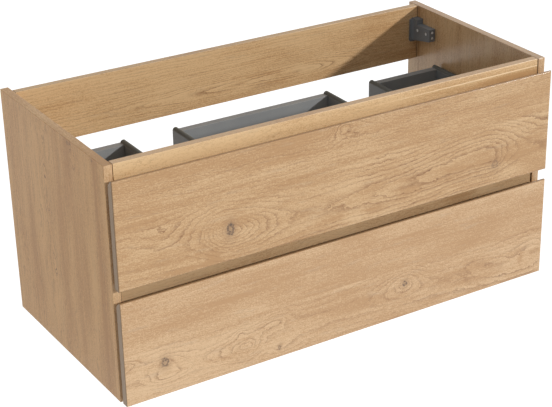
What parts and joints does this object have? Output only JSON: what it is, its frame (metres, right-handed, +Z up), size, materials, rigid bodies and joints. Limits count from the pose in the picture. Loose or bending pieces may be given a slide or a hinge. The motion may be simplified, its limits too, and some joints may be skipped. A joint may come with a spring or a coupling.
{
  "type": "bathroom vanity cabinet",
  "caption": "Wall-hung oak-look vanity cabinet: handleless drawers on undermount runners, pipe notches, open top for the basin and adjustable wall hangers.",
  "frame": {"origin": "middle of the footprint (over the fronts and the wall edges of the sides), at the height of the lower edges of the sides", "axes": "+X to the right seen from the front, +Y to the wall, +Z up"},
  "size_m": [0.995, 0.4742, 0.481],
  "materials": {
    "oak_decor": "oak-grain decor board, matt with a fine pore structure",
    "drawer_foil": "board wrapped in satin anthracite foil",
    "zinced_steel": "zinc-plated rolled steel",
    "hanger_plastic": "moulded, satin dark grey",
    "clip_plastic": "moulded, satin mid grey"
  },
  "bodies": {
    "carcass": {"side_panel_right": "oak_decor", "side_panel_left": "oak_decor", "front_top_rail": "oak_decor", "middle_rail": "oak_decor", "rear_top_rail": "oak_decor", "bottom_panel": "oak_decor", "upper_runner_cabinet_member_right": "zinced_steel", "upper_runner_cabinet_member_left": "zinced_steel", "lower_runner_cabinet_member_right": "zinced_steel", "lower_runner_cabinet_member_left": "zinced_steel", "hanger_housing_right": "hanger_plastic", "hanger_housing_left": "hanger_plastic", "hanger_rear_fixing_screw_right": "zinced_steel", "hanger_rear_fixing_screw_left": "zinced_steel", "hanger_front_fixing_screw_right": "zinced_steel", "hanger_front_fixing_screw_left": "zinced_steel"},
    "upper_drawer": {"upper_drawer_front": "oak_decor", "upper_drawer_side_wall_right": "drawer_foil", "upper_drawer_side_wall_left": "drawer_foil", "upper_drawer_base": "drawer_foil", "upper_drawer_rear_wall_middle": "drawer_foil", "upper_drawer_rear_wall_right": "drawer_foil", "upper_drawer_rear_wall_left": "drawer_foil", "pipe_notch_inner_wall_right": "drawer_foil", "pipe_notch_inner_wall_left": "drawer_foil", "pipe_notch_outer_wall_right": "drawer_foil", "pipe_notch_outer_wall_left": "drawer_foil", "pipe_notch_front_wall_right": "drawer_foil", "pipe_notch_front_wall_left": "drawer_foil", "upper_runner_drawer_member_right": "zinced_steel", "upper_runner_drawer_member_left": "zinced_steel", "upper_locking_clip_right": "clip_plastic", "upper_locking_clip_left": "clip_plastic"},
    "lower_drawer": {"lower_drawer_front": "oak_decor", "lower_drawer_side_wall_right": "drawer_foil", "lower_drawer_side_wall_left": "drawer_foil", "lower_drawer_base": "drawer_foil", "lower_drawer_rear_wall": "drawer_foil", "lower_runner_drawer_member_right": "zinced_steel", "lower_runner_drawer_member_left": "zinced_steel", "lower_locking_clip_right": "clip_plastic", "lower_locking_clip_left": "clip_plastic"},
    "upper_right_telescope": {"upper_runner_telescopic_member_right": "zinced_steel"},
    "upper_left_telescope": {"upper_runner_telescopic_member_left": "zinced_steel"},
    "lower_right_telescope": {"lower_runner_telescopic_member_right": "zinced_steel"},
    "lower_left_telescope": {"lower_runner_telescopic_member_left": "zinced_steel"},
    "right_hanger_slider": {"hanger_slider_right": "zinced_steel"},
    "right_hanger_hook": {"hanger_hook_right": "zinced_steel"},
    "right_height_screw": {"hanger_height_screw_right": "zinced_steel"},
    "right_depth_screw": {"hanger_depth_screw_right": "zinced_steel"},
    "left_hanger_slider": {"hanger_slider_left": "zinced_steel"},
    "left_hanger_hook": {"hanger_hook_left": "zinced_steel"},
    "left_height_screw": {"hanger_height_screw_left": "zinced_steel"},
    "left_depth_screw": {"hanger_depth_screw_left": "zinced_steel"}
  },
  "joints": [
    {"name": "upper_drawer_slide", "type": "slide", "parent": "carcass", "child": "upper_drawer", "axis": [0, -1, 0], "range_m": [0, 0.345]},
    {"name": "lower_drawer_slide", "type": "slide", "parent": "carcass", "child": "lower_drawer", "axis": [0, -1, 0], "range_m": [0, 0.345]},
    {"name": "upper_right_telescope_slide", "type": "slide", "parent": "carcass", "child": "upper_right_telescope", "axis": [0, -1, 0], "range_m": [0, 0.1725]},
    {"name": "upper_left_telescope_slide", "type": "slide", "parent": "carcass", "child": "upper_left_telescope", "axis": [0, -1, 0], "range_m": [0, 0.1725]},
    {"name": "lower_right_telescope_slide", "type": "slide", "parent": "carcass", "child": "lower_right_telescope", "axis": [0, -1, 0], "range_m": [0, 0.1725]},
    {"name": "lower_left_telescope_slide", "type": "slide", "parent": "carcass", "child": "lower_left_telescope", "axis": [0, -1, 0], "range_m": [0, 0.1725]},
    {"name": "right_hanger_depth", "type": "slide", "parent": "carcass", "child": "right_hanger_slider", "axis": [0, 1, 0], "range_m": [-0.003, 0.003]},
    {"name": "right_hanger_height", "type": "slide", "parent": "right_hanger_slider", "child": "right_hanger_hook", "axis": [0, 0, 1], "range_m": [-0.004, 0.004]},
    {"name": "right_height_screw_turn", "type": "hinge", "parent": "carcass", "child": "right_height_screw", "pos_m": [0.4724, 0.1371, 0.4372], "axis": [0, 1, 0], "range_deg": [-1800.1, 1800.1]},
    {"name": "right_depth_screw_turn", "type": "hinge", "parent": "carcass", "child": "right_depth_screw", "pos_m": [0.4724, 0.1371, 0.4246], "axis": [0, 1, 0], "range_deg": [-1350.1, 1350.1]},
    {"name": "left_hanger_depth", "type": "slide", "parent": "carcass", "child": "left_hanger_slider", "axis": [0, 1, 0], "range_m": [-0.003, 0.003]},
    {"name": "left_hanger_height", "type": "slide", "parent": "left_hanger_slider", "child": "left_hanger_hook", "axis": [0, 0, 1], "range_m": [-0.004, 0.004]},
    {"name": "left_height_screw_turn", "type": "hinge", "parent": "carcass", "child": "left_height_screw", "pos_m": [-0.4724, 0.1371, 0.4372], "axis": [0, 1, 0], "range_deg": [-1800.1, 1800.1]},
    {"name": "left_depth_screw_turn", "type": "hinge", "parent": "carcass", "child": "left_depth_screw", "pos_m": [-0.4724, 0.1371, 0.4246], "axis": [0, 1, 0], "range_deg": [-1350.1, 1350.1]}
  ],
  "couplings": [
    {"joint": "upper_right_telescope_slide", "follows": "upper_drawer_slide", "ratio": 0.5},
    {"joint": "upper_left_telescope_slide", "follows": "upper_drawer_slide", "ratio": 0.5},
    {"joint": "lower_right_telescope_slide", "follows": "lower_drawer_slide", "ratio": 0.5},
    {"joint": "lower_left_telescope_slide", "follows": "lower_drawer_slide", "ratio": 0.5},
    {"joint": "right_height_screw_turn", "follows": "right_hanger_height", "rad_per_m": 7854},
    {"joint": "right_depth_screw_turn", "follows": "right_hanger_depth", "rad_per_m": 7854},
    {"joint": "left_height_screw_turn", "follows": "left_hanger_height", "rad_per_m": 7854},
    {"joint": "left_depth_screw_turn", "follows": "left_hanger_depth", "rad_per_m": 7854}
  ]
}
